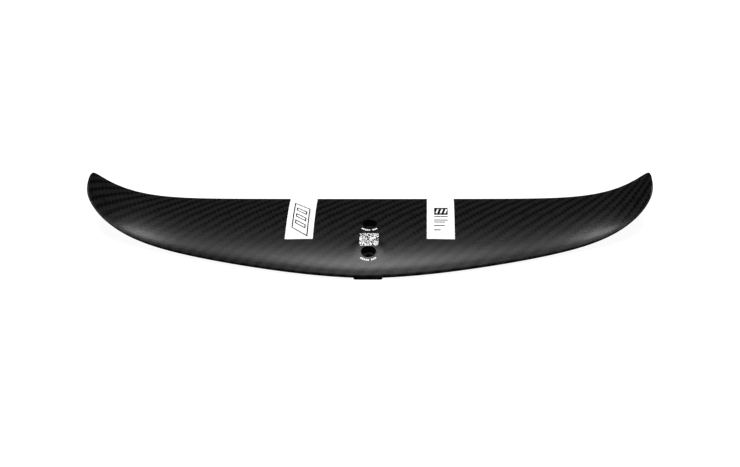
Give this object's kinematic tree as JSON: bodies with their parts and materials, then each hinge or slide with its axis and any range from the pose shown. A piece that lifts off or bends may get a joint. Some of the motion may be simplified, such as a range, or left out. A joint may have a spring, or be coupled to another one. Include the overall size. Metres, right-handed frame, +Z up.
{
  "type": "hydrofoil rear wing",
  "caption": "Crescent-shaped carbon stabiliser wing with upturned tips, a flat mounting pad and recessed screw holes on its centreline.",
  "frame": {"origin": "on the flat bottom face of the mounting pad, midway between the two screw holes", "axes": "+X along the span, +Y from the nose towards the trailing edge, +Z up, out of the top face"},
  "size_m": [0.4, 0.09, 0.0296],
  "materials": {
    "twill_carbon": "satin clear coat over twill weave",
    "solid_carbon": "matte",
    "carbon_tape": "matte, fibres along the span",
    "foam": "fine closed cells",
    "white_print": "satin printed film"
  },
  "bodies": {
    "root": {"upper_skin": "twill_carbon", "lower_skin": "twill_carbon", "mounting_pad": "solid_carbon", "centre_block": "solid_carbon", "left_core": "foam", "right_core": "foam", "upper_spar_cap": "carbon_tape", "lower_spar_cap": "carbon_tape", "leading_edge_filler": "carbon_tape", "trailing_edge_strip": "carbon_tape", "left_tip_block": "solid_carbon", "right_tip_block": "solid_carbon", "left_strip": "white_print", "right_strip": "white_print", "patch": "white_print", "front_hole_arc": "white_print", "rear_hole_arc": "white_print"}
  },
  "joints": []
}
